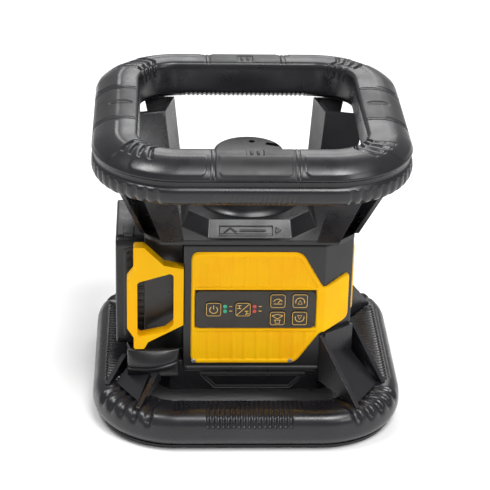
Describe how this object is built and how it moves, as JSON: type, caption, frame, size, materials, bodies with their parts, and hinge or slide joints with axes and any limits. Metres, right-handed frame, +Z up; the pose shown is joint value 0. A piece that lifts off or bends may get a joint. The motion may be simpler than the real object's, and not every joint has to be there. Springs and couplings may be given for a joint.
{
  "type": "rotating laser level",
  "caption": "Self-levelling rotating laser level in a square roll cage, with a keypad, a side battery pack and a tripod socket.",
  "frame": {"origin": "centre of the footprint on the floor, directly below the rotor axis", "axes": "+Z up along the rotor axis, the keypad faces -Y, the battery pack is on the -X side"},
  "size_m": [0.24, 0.238, 0.238],
  "materials": {
    "cage_nylon": "satin glass-filled nylon",
    "pad_rubber": "soft satin",
    "case_plastic": "fine grain",
    "yellow_plastic": "smooth satin gloss",
    "keypad_film": "fine matt film",
    "button_rubber": "matt",
    "lens_green": "clear tinted",
    "lens_red": "clear tinted",
    "board": "solder mask",
    "alloy": "machined",
    "steel": "brushed",
    "brass": "machined",
    "magnet": "nickel plated",
    "optic": "polished",
    "cell_wrap": "shrink sleeve"
  },
  "bodies": {
    "chassis": {"base_ring": "cage_nylon", "base_tread": "pad_rubber", "battery_bay": "case_plastic", "bottom_case": "case_plastic", "case_screws": "steel", "front_panel": "yellow_plastic", "gimbal_bracket": "alloy", "handle_frame": "yellow_plastic", "housing_front": "case_plastic", "housing_rear": "case_plastic", "keypad_bezel": "keypad_film", "keypad_board": "board", "led_green": "lens_green", "led_red": "lens_red", "leg_front_left": "cage_nylon", "leg_front_right": "cage_nylon", "leg_rear_left": "cage_nylon", "leg_rear_right": "cage_nylon", "level_motor_y": "steel", "main_board": "board", "panel_screws": "steel", "post_front_left": "cage_nylon", "post_front_right": "cage_nylon", "post_rear_left": "cage_nylon", "post_rear_right": "cage_nylon", "ring_pads": "pad_rubber", "side_panel": "yellow_plastic", "terminal_block": "case_plastic", "top_deck": "case_plastic", "top_ring_lower": "cage_nylon", "top_ring_upper": "cage_nylon", "tripod_insert": "steel", "turret_shroud": "case_plastic"},
    "gimbal": {"gimbal_ring": "alloy", "level_motor_x": "steel"},
    "barrel": {"laser_barrel": "alloy", "laser_diode": "brass", "collimator_lens": "optic", "tilt_sensor": "alloy", "spin_stator": "steel", "rotor_bearings": "steel"},
    "rotor": {"rotor_hub": "alloy", "magnet_ring": "magnet", "prism": "optic", "rotor_cap": "case_plastic"},
    "screw_y": {"level_screw_y": "steel"},
    "nut_y": {"level_nut_y": "brass"},
    "screw_x": {"level_screw_x": "steel"},
    "nut_x": {"level_nut_x": "brass"},
    "battery": {"battery_case": "case_plastic", "battery_lid": "case_plastic", "battery_cells": "cell_wrap", "battery_contacts": "brass"},
    "release": {"battery_release": "case_plastic"},
    "button_power": {"button_power": "button_rubber"},
    "button_mode": {"button_mode": "button_rubber"},
    "button_speed": {"button_speed": "button_rubber"},
    "button_scan": {"button_scan": "button_rubber"},
    "button_turn_right": {"button_turn_right": "button_rubber"},
    "button_turn_left": {"button_turn_left": "button_rubber"}
  },
  "joints": [
    {"name": "gimbal_tilt", "type": "hinge", "parent": "chassis", "child": "gimbal", "pos_m": [0, 0, 0.128], "axis": [0, 1, 0], "range_deg": [-5, 5]},
    {"name": "barrel_tilt", "type": "hinge", "parent": "gimbal", "child": "barrel", "pos_m": [0, 0, 0.128], "axis": [1, 0, 0], "range_deg": [-5, 5]},
    {"name": "rotor_spin", "type": "hinge", "parent": "barrel", "child": "rotor", "pos_m": [0, 0, 0.161], "axis": [0, 0, 1], "continuous": true},
    {"name": "level_nut_y_slide", "type": "slide", "parent": "chassis", "child": "nut_y", "axis": [0, 0, 1], "range_m": [-0.0052, 0.0052]},
    {"name": "level_screw_y_spin", "type": "hinge", "parent": "chassis", "child": "screw_y", "pos_m": [0.058, 0.011, 0.118], "axis": [0, 0, 1], "range_deg": [-460, 460]},
    {"name": "level_nut_x_slide", "type": "slide", "parent": "gimbal", "child": "nut_x", "axis": [0, 0, 1], "range_m": [-0.0022, 0.0022]},
    {"name": "level_screw_x_spin", "type": "hinge", "parent": "gimbal", "child": "screw_x", "pos_m": [0.01, 0.024, 0.118], "axis": [0, 0, 1], "range_deg": [-390, 390]},
    {"name": "battery_slide", "type": "slide", "parent": "chassis", "child": "battery", "axis": [-1, 0, 0], "range_m": [0, 0.055]},
    {"name": "release_press", "type": "slide", "parent": "battery", "child": "release", "axis": [0, 0, -1], "range_m": [0, 0.0012], "stiffness_N_per_m": 400},
    {"name": "button_power_press", "type": "slide", "parent": "chassis", "child": "button_power", "axis": [0, 1, 0], "range_m": [0, 0.0008], "stiffness_N_per_m": 500},
    {"name": "button_mode_press", "type": "slide", "parent": "chassis", "child": "button_mode", "axis": [0, 1, 0], "range_m": [0, 0.0008], "stiffness_N_per_m": 500},
    {"name": "button_speed_press", "type": "slide", "parent": "chassis", "child": "button_speed", "axis": [0, 1, 0], "range_m": [0, 0.0008], "stiffness_N_per_m": 500},
    {"name": "button_scan_press", "type": "slide", "parent": "chassis", "child": "button_scan", "axis": [0, 1, 0], "range_m": [0, 0.0008], "stiffness_N_per_m": 500},
    {"name": "button_turn_right_press", "type": "slide", "parent": "chassis", "child": "button_turn_right", "axis": [0, 1, 0], "range_m": [0, 0.0008], "stiffness_N_per_m": 500},
    {"name": "button_turn_left_press", "type": "slide", "parent": "chassis", "child": "button_turn_left", "axis": [0, 1, 0], "range_m": [0, 0.0008], "stiffness_N_per_m": 500}
  ],
  "couplings": [
    {"joint": "level_nut_y_slide", "follows": "gimbal_tilt", "m_per_rad": -0.058},
    {"joint": "level_screw_y_spin", "follows": "gimbal_tilt", "ratio": -91.106},
    {"joint": "level_nut_x_slide", "follows": "barrel_tilt", "m_per_rad": 0.024},
    {"joint": "level_screw_x_spin", "follows": "barrel_tilt", "ratio": 75.398}
  ]
}
